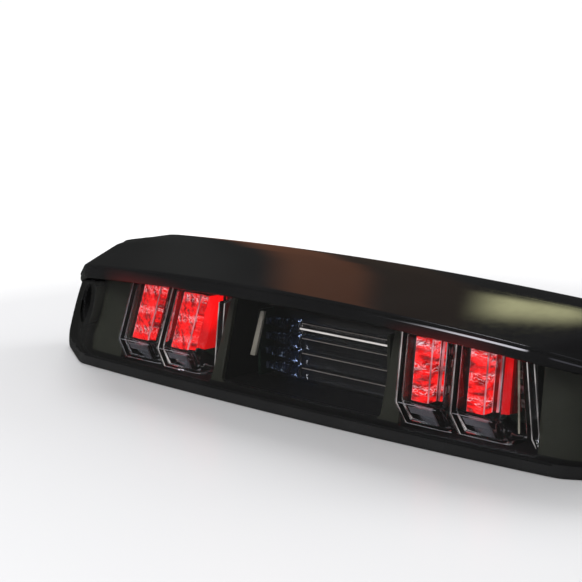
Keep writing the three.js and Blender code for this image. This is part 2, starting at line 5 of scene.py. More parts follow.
import bmesh
import bpy
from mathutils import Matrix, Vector


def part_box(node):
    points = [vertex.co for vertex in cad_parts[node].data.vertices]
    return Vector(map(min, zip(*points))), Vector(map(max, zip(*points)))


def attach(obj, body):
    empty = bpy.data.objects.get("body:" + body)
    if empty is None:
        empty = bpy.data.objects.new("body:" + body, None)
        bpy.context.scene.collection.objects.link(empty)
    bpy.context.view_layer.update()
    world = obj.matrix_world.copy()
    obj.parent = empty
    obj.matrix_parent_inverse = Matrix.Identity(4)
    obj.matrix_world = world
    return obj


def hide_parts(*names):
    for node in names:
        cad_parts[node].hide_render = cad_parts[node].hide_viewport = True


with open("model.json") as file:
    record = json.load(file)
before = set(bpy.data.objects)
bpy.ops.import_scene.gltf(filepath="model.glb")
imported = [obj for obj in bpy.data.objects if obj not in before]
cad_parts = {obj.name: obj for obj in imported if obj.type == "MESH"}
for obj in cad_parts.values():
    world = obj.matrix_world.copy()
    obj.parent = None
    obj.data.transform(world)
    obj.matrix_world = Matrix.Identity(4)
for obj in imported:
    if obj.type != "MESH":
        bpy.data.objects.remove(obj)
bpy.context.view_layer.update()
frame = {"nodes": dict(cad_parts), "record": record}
SLOTS = {part["node"]: part["material_slot"] for part in frame["record"]["subparts"]}
MM = 0.001

# ---- driving dimensions, in millimetres ----
# X runs along the lamp, Y from the lens towards the cab, and Z up from the lower edge.
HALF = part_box("outer_lens")[1].x / MM      # half the length
REAR_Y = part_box("rear_housing")[1].y / MM  # back face of the housing
HALF_REAR = 186                            # half the length at the back face
SIDE_BREAK_Y = 6                           # depth where the side walls start to draw in
BOW = 2.2                                  # how far the front bows back, per (100 mm) squared

LIP_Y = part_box("visor")[0].y / MM          # front of the visor at the middle
LIP_END_Y = 8.6                            # where the lip runs out at the end of the lens
TOP_REAR_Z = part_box("visor")[1].z / MM     # top of the visor at the back
TOP_FRONT_Z = 63                           # top of the visor at its lip
LIP_HEIGHT, LIP_FALL = 8, 3.4              # height of the lip, and how much lower it is at the ends
ARCH_REAR, ARCH_FRONT = 1.8, 2.75          # drop of both edges towards the ends, per (100 mm) squared
REAR_BAND, BAND_TILT = 13, 0.06            # flatter band along the rear of the visor: its width and tilt
CREASE = Vector((147.6, -31.2, 57.0))      # corner of the visor where the end facet starts
FACET_SLOPE = (-0.656, 0.408)              # fall of the end facet towards the end, and its rise to the back
UPPER_CORNER = (46, 30, 36)                # half width, height and starting height of the corner ellipse
LOWER_CORNER = (11, 15)                    # width and height of the lower corner ellipse
SKIN = 3                                   # wall of the visor
VISOR_HALF = HALF - 1.9                    # the visor stops a little short of the lens

LENS_FOOT_Y = -34                          # front of the lens at its lower edge
RAKE = 0.26                                # lens lean, mm back per mm up
BEND_X, BEND_LEAN = 158, 0.15              # where the lens turns back, and how the bend leans inwards
EDGE_FOOT_Y, EDGE_RAKE = -1.85, 0.287      # front and lean of the lens at its outer edge
LENS_WALL, LENS_RIM = 2.6, 8               # thickness of the lens, and depth of its return rim
LENS_ROUND = 2.4                           # rounding of the lens round its outline

WALL, BACK_WALL = 2.4, 3                   # side walls and back wall of the housing
SEAL_DEPTH = 9.6                           # how far the housing stays behind the front of the lens
SCREW_X, SCREW_Z = 173, 29                 # axis of the mounting screws
RECESS, SEAT_Y = 10, 9                     # radius of the screw recess, and the depth of its seat
CUP, STEM, STEM_BORE = 12.4, 7, 5.2        # outer radii of the screw cup and its stem, and the bore

TOWER_WIDTH, TOWER_BACK = 28.5, -3         # width of a tower, and the depth of its back
TOWER_FLOOR, KNEE_Z, TOWER_TOP = 5.5, 17, 50  # heights of a tower's foot, knee and top
SPLAY = 0.11                               # outward lean of the towers, mm per mm down
STRIP = {-1: (13.0, 4.5), 1: (10.0, 7.0)}  # width and depth of the red strips, by side
STRIP_LEFT, STRIP_SETBACK = 7, 3.0         # place of a red strip inside its tower
FIN_WIDTH = 4.3                            # thickness of the clear plate beside each pair
ROD_Y, ROD_RADIUS = -5, 3.2                # axis depth and radius of the cargo rods

# Name, side, left edges of both towers, and left edge of the fin of each pair.
PAIRS = (("left", -1, (-127.5, -95.5), -62.0), ("right", 1, (60.0, 90.8), 129.6))
FAR = 60                                   # past the lamp in every cutting tool


# ---- shape of the outside ----
def sq(x):
    return (x / 100) ** 2


def smooth_max(a, b, k):
    """The larger value, blended over a width where both are close."""
    return 0.5 * (a + b + math.hypot(a - b, k))


def smooth_min(a, b, k):
    return -smooth_max(-a, -b, k)


def fillet(distance, radius):
    """How far a rounded edge falls back at a distance from the edge."""
    if distance >= radius:
        return 0.0
    reach = radius - max(distance, 0.0)
    return radius - math.sqrt(max(radius * radius - reach * reach, 0.0))


def side_half(y):
    """Half length of the lamp at a depth: its side walls draw in towards the back."""
    if y <= SIDE_BREAK_Y:
        return HALF
    return HALF - (HALF - HALF_REAR) * (y - SIDE_BREAK_Y) / (REAR_Y - SIDE_BREAK_Y)


def rear_limit(x):
    """Furthest depth at a place along the lamp."""
    past = max(abs(x) - HALF_REAR, 0.0) / (HALF - HALF_REAR)
    return REAR_Y - past * (REAR_Y - SIDE_BREAK_Y)


def lens_y(x, z):
    """Front surface of the lens."""
    ax = abs(x)
    main = LENS_FOOT_Y + BOW * sq(ax) + RAKE * z
    bend = BEND_X - BEND_LEAN * z
    start = LENS_FOOT_Y + BOW * sq(bend) + RAKE * z
    edge = EDGE_FOOT_Y + EDGE_RAKE * z
    return smooth_max(main, start + (ax - bend) * (edge - start) / (HALF - bend), 1.2)


def lip_y(x):
    """Front edge of the visor lip."""
    ax = abs(x)
    main = LIP_Y + BOW * sq(min(ax, 160))
    start = LIP_Y + BOW * sq(CREASE.x)
    return smooth_max(main, start + (ax - CREASE.x) * (LIP_END_Y - start) / (HALF - 1.5 - CREASE.x), 1.6)


def top_z(x, y):
    """Top of the visor: a shallow roof, a flat facet at each end, and rounded outer corners."""
    ax = abs(x)
    rear = TOP_REAR_Z + REAR_BAND * BAND_TILT - ARCH_REAR * sq(ax)
    front = TOP_FRONT_Z - ARCH_FRONT * sq(ax)
    lip = LIP_Y + BOW * sq(ax)
    roof = front + (rear - front) * (y - lip) / (REAR_Y - lip)
    facet = CREASE.z + FACET_SLOPE[0] * (ax - CREASE.x) + FACET_SLOPE[1] * (y - CREASE.y)
    across, up, start = UPPER_CORNER
    e = min(max((ax - (side_half(y) - across)) / across, 0.0), 1.0)
    dome = start + up * math.sqrt(1 - e * e) + 8 * max(1 - e / 0.4, 0.0) ** 2
    return smooth_min(smooth_min(roof, facet, 0.9), dome, 2.5)


def lip_height(x):
    """Height of the lip's front face, which gets lower towards the ends."""
    return LIP_HEIGHT - LIP_FALL * max(0.0, (abs(x) - CREASE.x) / (HALF - CREASE.x))


def lens_top(x):
    """Upper edge of the lens, tucked under the visor."""
    x = min(abs(x), HALF - 2.6)
    z = 50.0
    for _ in range(6):
        z = top_z(x, lens_y(x, z) + 2) - SKIN - 0.5
    return z


def corner_z(distance):
    """Lower edge at a distance inwards from the end."""
    across, up = LOWER_CORNER
    past = min(max(1 - distance / across, 0.0), 1.0)
    return up * (1 - math.sqrt(1 - past * past))


def lens_bottom(x):
    """Lower edge of the lens."""
    return corner_z(HALF - abs(x))


def lean(side, z):
    """Sideways shift of the towers of one side, which lean outwards going down."""
    return side * SPLAY * (TOWER_TOP - z)


def tower_front(x, z):
    """Front of the tower whose left edge is at x, just behind the lens."""
    outer = max(abs(x), abs(x + TOWER_WIDTH)) + 4
    return lens_y(outer, z) + LENS_WALL + 1


def stations(half, count):
    """Places along the lamp, closer together towards the ends."""
    return [half * math.sin(math.pi / 2 * (2 * i / count - 1)) for i in range(count + 1)]


# ---- mesh helpers ----
def smooth(mesh, sharp):
    """Smooth shading, apart from edges steeper than an angle in degrees."""
    mesh.polygons.foreach_set("use_smooth", [True] * len(mesh.polygons))
    mesh.set_sharp_from_angle(angle=math.radians(sharp))


def new_object(name, data):
    """New object in the scene."""
    obj = bpy.data.objects.new(name, data)
    bpy.context.scene.collection.objects.link(obj)
    return obj


def to_object(name, bm, sharp=35):
    """Turns a finished bmesh into an object in the scene."""
    bmesh.ops.recalc_face_normals(bm, faces=bm.faces)
    mesh = bpy.data.meshes.new(name)
    bm.to_mesh(mesh)
    bm.free()
    smooth(mesh, sharp)
    return new_object(name, mesh)


def add_points(bm, points):
    return [bm.verts.new((x * MM, y * MM, z * MM)) for x, y, z in points]


def bridge(bm, rings, closed=True):
    """Quads between rings of vertices of the same count."""
    for a, b in zip(rings, rings[1:]):
        n = len(a)
        for i in range(n if closed else n - 1):
            j = (i + 1) % n
            bm.faces.new((a[i], a[j], b[j], b[i]))


def tube(bm, rings):
    """Closed solid through rings of vertices, with a face on both ends."""
    bridge(bm, rings)
    bm.faces.new(rings[0])
    bm.faces.new(rings[-1])


def border(rows):
    """Index pairs round the edge of a grid, in order."""
    n, m = len(rows) - 1, len(rows[0]) - 1
    there = [(i, 0) for i in range(n)] + [(n, j) for j in range(m)]
    return there + [(i, m) for i in range(n, 0, -1)] + [(0, j) for j in range(m, 0, -1)]


def round_off(bm, edges, width, segments, clamp=True):
    """Rounds some edges of a bmesh."""
    bmesh.ops.bevel(bm, geom=edges, offset=width * MM, segments=segments, profile=0.5,
                    affect="EDGES", clamp_overlap=clamp)


def loft(name, xs, outline, sharp=35):
    """Closed solid through [y, z] outlines at stations along X."""
    bm = bmesh.new()
    tube(bm, [add_points(bm, [(x, y, z) for y, z in outline(x)]) for x in xs])
    return to_object(name, bm, sharp)


def prism(name, profile, low, high, axis="X", bevel=0.0, segments=3, sharp=35):
    """A flat outline pushed along X or Y, with rounded edges."""
    bm = bmesh.new()
    rings = []
    for d in (low, high):
        rings.append(add_points(bm, [(d, a, b) if axis == "X" else (a, d, b) for a, b in profile]))
    tube(bm, rings)
    if bevel:
        round_off(bm, bm.edges[:], bevel, segments)
    return to_object(name, bm, sharp)


def turned(name, profile, centre, axis="Y", segments=48, sharp=35):
    """Closed solid of revolution; the profile's points are (radius, place along the axis)."""
    bm = bmesh.new()
    rings = []
    for i in range(segments):
        a = 2 * math.pi * i / segments
        c, s = math.cos(a), math.sin(a)
        if axis == "Y":
            points = [(centre[0] + r * c, d, centre[1] + r * s) for r, d in profile]
        else:
            points = [(d, centre[0] + r * c, centre[1] + r * s) for r, d in profile]
        rings.append(add_points(bm, points))
    bridge(bm, rings + [rings[0]])
    bmesh.ops.remove_doubles(bm, verts=bm.verts, dist=1e-6)
    return to_object(name, bm, sharp)


def drill(radius, low, high, x, z, segments=48):
    """Round cutting tool along Y."""
    return turned("hole", [(0, low), (radius, low), (radius, high), (0, high)], (x, z), segments=segments)


def settle(obj, sharp=35):
    """Applies the modifiers of an object."""
    mesh = bpy.data.meshes.new_from_object(obj.evaluated_get(bpy.context.evaluated_depsgraph_get()))
    obj.modifiers.clear()
    obj.data = mesh
    smooth(mesh, sharp)
    return obj


def cut(obj, *tools, sharp=35):
    """Takes the tools away from an object, and deletes them."""
    for tool in tools:
        mod = obj.modifiers.new("cut", "BOOLEAN")
        mod.object, mod.operation, mod.solver = tool, "DIFFERENCE", "EXACT"
    settle(obj, sharp)
    for tool in tools:
        bpy.data.objects.remove(tool)
    return obj


def soft_edges(obj, width, angle):
    """Bevel modifier on the edges steeper than an angle in degrees."""
    mod = obj.modifiers.new("soft edges", "BEVEL")
    mod.width, mod.segments, mod.limit_method = width * MM, 2, "ANGLE"
    mod.angle_limit = math.radians(angle)


def soften(obj, width):
    """Rounds the sharp edges of an object."""
    soft_edges(obj, width, 35)
    return settle(obj)


def place(obj, node, finish=None, second=None, where=None):
    """Puts a piece in the frame instead of a CAD node; faces that pass a test get a second finish."""
    obj.data.materials.clear()
    obj.data.materials.append(M[finish or SLOTS[node]])
    if second:
        obj.data.materials.append(M[second])
        for face in obj.data.polygons:
            face.material_index = 1 if where(*(face.center / MM)) else 0
    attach(obj, "root")
    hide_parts(node)


# ---- materials ----
PLASTIC_IOR, CLEAR_IOR = 1.5, 1.49
POLISHED = (260.0, 0.02, 0.00005)          # grain, strength and depth of a gloss skin
SATIN = (700.0, 0.08, 0.0001)              # the same for other skins
MOULDED = (1400.0, 0.25, 0.0001)
FINE = (900.0, 0.05, 0.0001)
# The pale strokes of the red optics are painted glints.
STROKE_BANDS = 0.0105                      # height of a band of pale strokes, in metres
PAIR_MIDDLE = 0.098                        # distance of the pairs from the middle, in metres


def fill(node, inputs):
    """Sets inputs of a node; spaces in their names are written as underscores."""
    for key, value in inputs.items():
        node.inputs[key.replace("_", " ")].default_value = value
    return node


class Graph:
    """A node tree, with short ways to add what the materials here are made of."""

    def __init__(self, tree):
        self.nodes = tree.nodes
        self.link = tree.links.new

    def add(self, kind, **inputs):
        """New node, with some of its inputs set."""
        return fill(self.nodes.new(f"ShaderNode{kind}"), inputs)

    def show(self, shader):
        """Makes a shader the surface of the material or of the world."""
        output = next(node for node in self.nodes if node.type.startswith("OUTPUT"))
        self.link(shader, output.inputs["Surface"])

    def here(self):
        """Place of the shaded point, in metres."""
        return self.add("TexCoord").outputs["Object"]

    def xyz(self, vector):
        """The three parts of a vector."""
        split = self.add("SeparateXYZ")
        self.link(vector, split.inputs["Vector"])
        return split.outputs

    def remapped(self, vector, **change):
        """A vector that is turned or scaled."""
        mapping = self.add("Mapping", **change)
        self.link(vector, mapping.inputs["Vector"])
        return mapping.outputs["Vector"]

    def math(self, operation, first, second=None):
        """Result of a sum; each input is a socket or a number."""
        node = self.add("Math")
        node.operation = operation
        for socket, value in zip(node.inputs, (first, second)):
            if isinstance(value, (int, float)):
                socket.default_value = value
            elif value is not None:
                self.link(value, socket)
        return node.outputs["Value"]

    def noise(self, vector, scale, detail=3.0, distortion=0.0):
        """Soft random pattern; the scale is in spots per metre."""
        tex = self.add("TexNoise", Scale=scale, Detail=detail, Distortion=distortion)
        self.link(vector, tex.inputs["Vector"])
        return tex.outputs["Fac"]

    def ranged(self, value, low, high, start=0.3, end=0.7, soft=False):
        """Goes from low to high while a value goes from start to end."""
        node = self.add("MapRange", From_Min=start, From_Max=end, To_Min=low, To_Max=high)
        if soft:
            node.interpolation_type = "SMOOTHSTEP"
        self.link(value, node.inputs["Value"])
        return node.outputs["Result"]

    def band(self, value, low, high, blur):
        """1 between two limits and 0 outside them, with soft edges."""
        rise = self.ranged(value, 0, 1, low - blur, low + blur, True)
        fall = self.ranged(value, 0, 1, high + blur, high - blur, True)
        return self.math("MULTIPLY", rise, fall)

    def ramp(self, value, *stops):
        """Colour for a value, through stops of (value, colour)."""
        node = self.add("ValToRGB")
        bar = node.color_ramp
        while len(bar.elements) < len(stops):
            bar.elements.new(0.5)
        for element, (position, colour) in zip(bar.elements, stops):
            element.position, element.color = position, (*colour, 1)
        self.link(value, node.inputs["Fac"])
        return node.outputs["Color"]

    def mixed(self, share, first, colour):
        """A colour socket mixed with a fixed colour by a share."""
        mix = self.add("Mix")
        mix.data_type = "RGBA"
        self.link(share, mix.inputs["Factor"])
        self.link(first, mix.inputs["A"])
        mix.inputs["B"].default_value = (*colour, 1)
        return mix.outputs["Result"]

    def blend(self, share, first, second):
        """A mix of two shaders by a share, which is a socket or a number."""
        mix = self.add("MixShader")
        if isinstance(share, float):
            mix.inputs["Fac"].default_value = share
        else:
            self.link(share, mix.inputs["Fac"])
        for socket, node in zip(mix.inputs[1:], (first, second)):
            self.link(node.outputs[0], socket)
        return mix.outputs["Shader"]

    def bump(self, shader, height, strength, distance):
        """Fine relief on a shader."""
        node = self.add("Bump", Strength=strength, Distance=distance)
        self.link(height, node.inputs["Height"])
        self.link(node.outputs["Normal"], shader.inputs["Normal"])


def new_material(name, **inputs):
    """New material, its graph, and its main shader with some inputs set."""
    mat = bpy.data.materials.new(name)
    mat.use_nodes = True
    return mat, Graph(mat.node_tree), fill(mat.node_tree.nodes["Principled BSDF"], inputs)


def plastic(name, dark, light, rough, skin):
    """Moulded plastic: slight colour variation, uneven gloss and a fine skin."""
    mat, graph, shader = new_material(name, IOR=PLASTIC_IOR)
    here = graph.here()
    grain, strength, depth = skin
    fine = graph.noise(here, grain, 4.0)
    colour = graph.ramp(graph.noise(here, 30.0), (0.3, dark), (0.7, light))
    graph.link(colour, shader.inputs["Base Color"])
    graph.link(graph.ranged(fine, *rough), shader.inputs["Roughness"])
    graph.bump(shader, fine, strength, depth)
    return mat


def metal(name, colour, rough):
    """Bare metal with a fine grain."""
    mat, graph, shader = new_material(name, Base_Color=(*colour, 1), Metallic=1)
    fine = graph.noise(graph.here(), 1500.0, 4.0)
    graph.link(graph.ranged(fine, *rough), shader.inputs["Roughness"])
    graph.bump(shader, fine, 0.1, 0.00005)
    return mat


def smoked_pane(name, tint):
    """Thin smoked plastic: what is behind it shows unbent, and it mirrors by its Fresnel share."""
    mat, graph, shader = new_material(name)
    graph.nodes.remove(shader)
    clear = graph.add("BsdfTransparent", Color=(*tint, 1))
    gloss = graph.add("BsdfGlossy", Color=(1, 1, 1, 1))
    haze = graph.noise(graph.here(), 60.0)
    graph.link(graph.ranged(haze, 0.02, 0.06), gloss.inputs["Roughness"])
    fresnel = graph.add("Fresnel")
    inside = graph.add("NewGeometry").outputs["Backfacing"]
    graph.link(graph.ranged(inside, PLASTIC_IOR, 1 / PLASTIC_IOR, 0.0, 1.0), fresnel.inputs["IOR"])
    graph.show(graph.blend(fresnel.outputs["Fac"], clear, gloss))
    return mat


def clear_plastic(name, tint, rough):
    """Clear moulded plastic that bends light; lamps shine through it."""
    colour = (*tint, 1)
    mat, graph, shader = new_material(name, Base_Color=colour, Transmission_Weight=1, IOR=CLEAR_IOR)
    haze = graph.noise(graph.here(), 120.0)
    graph.link(graph.ranged(haze, *rough), shader.inputs["Roughness"])
    clear = graph.add("BsdfTransparent", Color=colour)
    graph.show(graph.blend(graph.add("LightPath").outputs["Is Shadow Ray"], shader, clear))
    return mat


def red_glow(name, stretch, turn):
    """Lit red light guide: saturated red and darker waves, with pale strokes gathered in bands that are
    painted glints.

    The pattern is turned about Y, in degrees, and then squeezed along each axis.
    """
    mat, graph, shader = new_material(name, Emission_Strength=2.0, Base_Color=(0.45, 0.005, 0.005, 1),
                                      Roughness=0.15)
    here = graph.here()
    slanted = graph.remapped(here, Rotation=(0, math.radians(turn), 0))
    vector = graph.remapped(slanted, Scale=stretch)
    # Pale strokes: painted glints, gathered in bands up the strip.
    wavy = graph.noise(vector, 330.0, 3.0, 1.2)
    off = graph.math("ABSOLUTE", graph.math("SUBTRACT", wavy, 0.5))
    stroke = graph.ranged(off, 1.0, 0.0, 0.006, 0.03)
    wave = graph.math("SINE", graph.math("MULTIPLY", graph.xyz(here)["Z"], 2 * math.pi / STROKE_BANDS))
    stroke = graph.math("MULTIPLY", stroke, graph.ranged(wave, 0.08, 1.0, 0.1, 0.9))
    waves = graph.noise(vector, 210.0, 2.0)
    colour = graph.ramp(waves, (0.38, (0.10, 0.0, 0.001)), (0.47, (0.6, 0.001, 0.002)),
                        (0.54, (1.0, 0.004, 0.004)))
    graph.link(graph.mixed(stroke, colour, (1.0, 0.7, 0.72)), shader.inputs["Emission Color"])
    graph.bump(shader, wavy, 0.4, 0.0006)
    return mat


def visor_black():
    """Gloss black, with a faint red glow painted on the lip in front of the lit towers, standing in for
    their light.
    """
    mat = plastic("gloss black", (0.006, 0.006, 0.0065), (0.008, 0.008, 0.0085), (0.035, 0.07), POLISHED)
    graph = Graph(mat.node_tree)
    x, y, z = graph.xyz(graph.here())
    # Mask of the painted red glow: near a pair of towers, low on the lip and at its front.
    off = graph.math("ABSOLUTE", graph.math("SUBTRACT", graph.math("ABSOLUTE", x), PAIR_MIDDLE))
    near = graph.ranged(off, 1, 0, 0.014, 0.034)
    low = graph.ranged(z, 1, 0, 0.050, 0.0585)
    front = graph.ranged(y, 1, 0, -0.032, -0.027)
    painted_red_glow = graph.math("MULTIPLY", graph.math("MULTIPLY", near, low), front)
    shader = graph.nodes["Principled BSDF"]
    graph.link(graph.math("MULTIPLY", painted_red_glow, 0.06), shader.inputs["Emission Strength"])
    shader.inputs["Emission Color"].default_value = (1.0, 0.04, 0.035, 1)
    return mat


def red_panel(name, low, high):
    """Evenly glowing red with a soft darker cloud, between two emission strengths: the lit body of a light
    guide, and on the reflector bar, red light painted as a glow.
    """
    mat, graph, shader = new_material(name, Emission_Color=(1.0, 0.002, 0.003, 1),
                                      Base_Color=(0.20, 0.01, 0.012, 1), Roughness=0.2)
    cloud = graph.noise(graph.here(), 45.0, 2.0)
    graph.link(graph.ranged(cloud, low, high, 0.38, 0.52), shader.inputs["Emission Strength"])
    return mat


def painted_highlight(name, colour, low, high, upper=1.0):
    """Painted highlight and reflection: a pale glow on edges, rods and posts, standing in for the light that
    they mirror.

    It glows between two emission strengths, and its upper part is that much stronger or weaker.
    """
    dimmed = [0.7 * c for c in colour]
    mat, graph, shader = new_material(name, Emission_Color=(*colour, 1), Base_Color=(*dimmed, 1),
                                      Roughness=0.15)
    here = graph.here()
    glow = graph.ranged(graph.noise(here, 90.0, 2.0), low, high, 0.38, 0.62)
    fade = graph.ranged(graph.xyz(here)["Z"], 1.0, upper, 0.020, 0.027)
    graph.link(graph.math("MULTIPLY", glow, fade), shader.inputs["Emission Strength"])
    return mat


# Plain plastics: name, darkest and lightest colour, roughness, and grain, strength and depth of the skin.
PLASTICS = {
    "housing_black": ("housing black", (0.020, 0.020, 0.021), (0.030, 0.030, 0.031), (0.38, 0.52), MOULDED),
    "bezel_black": ("bezel black", (0.062, 0.066, 0.047), (0.074, 0.078, 0.057), (0.28, 0.4), SATIN),
    # A darker copy of the bezel's plastic: painted shade for its ends and lower edge.
    "bezel_shade": ("bezel, painted shade", (0.010, 0.010, 0.010), (0.014, 0.014, 0.014), (0.28, 0.4), SATIN),
    # A darker plastic for the cargo pocket: painted shade in its recess.
    "pocket_shade": ("cargo pocket, painted shade", (0.014, 0.014, 0.014), (0.022, 0.022, 0.022), (0.28, 0.4), SATIN),
    "lens_edge": ("lens border black", (0.012, 0.012, 0.0125), (0.016, 0.016, 0.0165), (0.04, 0.09),
                  POLISHED),
    "frosted": ("frosted foot", (0.20, 0.21, 0.23), (0.50, 0.50, 0.53), (0.1, 0.3), (160.0, 0.3, 0.0004)),
    "rubber": ("rubber", (0.035, 0.035, 0.035), (0.05, 0.05, 0.05), (0.7, 0.9), (900.0, 0.3, 0.0002)),
    "board": ("board", (0.008, 0.022, 0.013), (0.013, 0.032, 0.02), (0.3, 0.45), (500.0, 0.1, 0.0001)),
    "led_white": ("led package", (0.75, 0.72, 0.62), (0.85, 0.83, 0.75), (0.25, 0.4), FINE),
    "led_unlit": ("unlit led", (0.06, 0.07, 0.10), (0.10, 0.12, 0.16), (0.1, 0.25), FINE),
    "beige_plastic": ("beige plastic", (0.66, 0.62, 0.50), (0.76, 0.72, 0.58), (0.3, 0.5), FINE),
    "wire_black": ("wire insulation", (0.012, 0.012, 0.013), (0.02, 0.02, 0.022), (0.45, 0.6), FINE),
}
# Painted highlights and reflections: name, colour, weakest and strongest emission, and the share of it in
# the upper part.
PAINTED_HIGHLIGHTS = {
    "top_rod_highlight": ("painted highlight on the top rod", (1.0, 0.95, 0.90), 0.85, 1.1),
    "bright_rim_highlight": ("painted rim highlight", (1.0, 0.96, 0.92), 0.05, 0.75),
    "dim_rim_highlight": ("dim painted rim highlight", (0.95, 0.97, 1.0), 0.01, 0.16),
    "rim_highlight_weaker_above": ("painted rim highlight, weaker above", (1.0, 0.96, 0.92), 0.25, 0.85, 0.18),
    "grey_post_reflection": ("painted grey reflection on a post", (0.92, 0.95, 1.0), 0.02, 0.07, 6.0),
    "faint_rod_highlight": ("faint painted highlight on a rod", (1.0, 0.9, 0.8), 0.004, 0.028),
    "olive_post_reflection": ("painted olive reflection on a post", (0.9, 0.86, 0.66), 0.08, 0.32),
    "pale_red": ("pale red painted edge highlight", (1.0, 0.36, 0.38), 0.15, 1.1),
}
M = {
    "gloss_black": visor_black(),
    "smoked_lens": smoked_pane("smoked lens", (0.74, 0.74, 0.75)),
    "clear_plastic": clear_plastic("clear plastic", (0.96, 0.97, 0.99), (0.0, 0.03)),
    "cool_plastic": clear_plastic("cool clear plastic", (0.42, 0.56, 0.86), (0.0, 0.02)),
    "red_optic": red_glow("red optic", (0.6, 0.6, 2.1), 0),
    "red_slanted": red_glow("red optic, slanted strokes", (2.7, 2.7, 0.8), 32),
    "red_body": red_panel("red light guide body", 0.03, 0.14),
    "red_bright": red_panel("red reflector", 1.1, 2.2),
    "steel": metal("steel", (0.56, 0.57, 0.60), (0.25, 0.42)),
}
M.update((key, plastic(*values)) for key, values in PLASTICS.items())
M.update((key, painted_highlight(*values)) for key, values in PAINTED_HIGHLIGHTS.items())


# ---- outer pieces ----
def taper(obj):
    """Draws the ends of a piece in towards its top."""
    for v in obj.data.vertices:
        reach = max(abs(v.co.x) / MM - 140, 0) / 60
        inwards = 5.0 * reach ** 2 * max(v.co.z / MM / 45, 0) ** 2.5
        v.co.x -= math.copysign(inwards * MM, v.co.x)
    return obj


def make_visor():
    """Gloss shell with a flat band at the back, a beaded lip at the front, and rounded ends."""
    end_round, rear_round, lip_round = 1.6, 1.2, 0.6
    # The bead and the underside of a lip of full height: places back from its front edge and down
    # from its top.
    bead = [(0.1, 0.8), (0.12, 1.6), (0.6, 1.9), (0.7, 2.3), (0.45, 2.8), (0.22, 3.4), (0.08, 4.1),
            (0.05, 4.8), (0.15, 6.2), (0.5, 7.1), (1.2, 7.8), (1.9, 8.0), (3.0, 8.0), (3.4, 7.7)]

    def outline(x):
        nose = fillet(VISOR_HALF - abs(x), end_round)
        y0 = lip_y(x) + nose
        y1 = max(rear_limit(x) - 0.5 * nose, y0 + 2)
        scale = (lip_height(x) - nose) / LIP_HEIGHT
        run = min(1.0, (y1 - y0) / 6)
        start = y0 + 0.7 * run
        top = top_z(x, start) - 0.5 * nose
        k = min(1.0, (y1 - start) / 50)
        back = [d * k for d in (0, 0.3, 0.7, 1.2, 4, 10, 16, REAR_BAND - 0.3, REAR_BAND + 0.3, 25)]
        back += [25 * k + (y1 - start - 25 * k) * i / 12 for i in range(1, 13)]
        points = []
        for d in back:
            band_drop = BAND_TILT * max(REAR_BAND * k - d, 0)
            points.append((y1 - d, top_z(x, y1 - d) - fillet(d, rear_round) - band_drop - 0.5 * nose))
        for i in range(1, 6):
            a = math.pi / 2 * i / 6
            points.append((start - lip_round * run * math.sin(a), top - lip_round * (1 - math.cos(a))))
        points += [(y0 + dy * run, top - dz * scale) for dy, dz in bead]
        under = [y0 + 3.8 * run + (y1 - y0 - 3.8 * run) * i / 8 for i in range(9)]
        points += [(y, min(top_z(x, y) - SKIN, top - 3.2 * scale + 6)) for y in under]
        return points

    return loft("visor_shell", stations(VISOR_HALF, 220), outline, 30)


def lens_face(x, z, depth, inset):
    """Front of the lens, or of its hollow, rounded at its lower edge and at its ends."""
    y = lens_y(x, z) + depth
    y += fillet(z - lens_bottom(x) - inset, LENS_ROUND) * 0.9
    return y + fillet(HALF - inset - abs(x), LENS_ROUND) * 0.9


def make_lens():
    """Smoked lens with a return rim all round, open for the screw recesses."""
    across, up, rim = 200, 44, 2.2
    bm = bmesh.new()

    def grid(inset, depth):
        rows = []
        for x in stations(HALF - inset, across):
            low = lens_bottom(x) + inset
            high = max(lens_top(x) - inset, low + 4)
            zs = [low + (high - low) * (1 - math.cos(math.pi / 2 * j / up)) for j in range(up + 1)]
            rows.append([(x, lens_face(x, z, depth, inset), z) for z in zs])
        return rows

    def back(rows, inset):
        points = []
        for i, j in border(rows):
            x, _, z = rows[i][j]
            y = lens_y(x, z) + LENS_RIM
            limit = side_half(y) - inset
            points.append((max(-limit, min(limit, x)), y, z))
        return add_points(bm, points)

    outer, inner = grid(0, 0), grid(rim, LENS_WALL)
    edges = []
    for rows in (outer, inner):
        face = [add_points(bm, row) for row in rows]
        bridge(bm, face, closed=False)
        edges.append([face[i][j] for i, j in border(rows)])
    bridge(bm, [edges[0], back(outer, 0), back(inner, rim), edges[1]])
    lens = to_object("lens_shell", bm, 30)
    holes = [drill(RECESS + 0.3, -FAR, 40, s * SCREW_X, SCREW_Z, 64) for s in (-1, 1)]
    return cut(taper(lens), *holes, sharp=30)


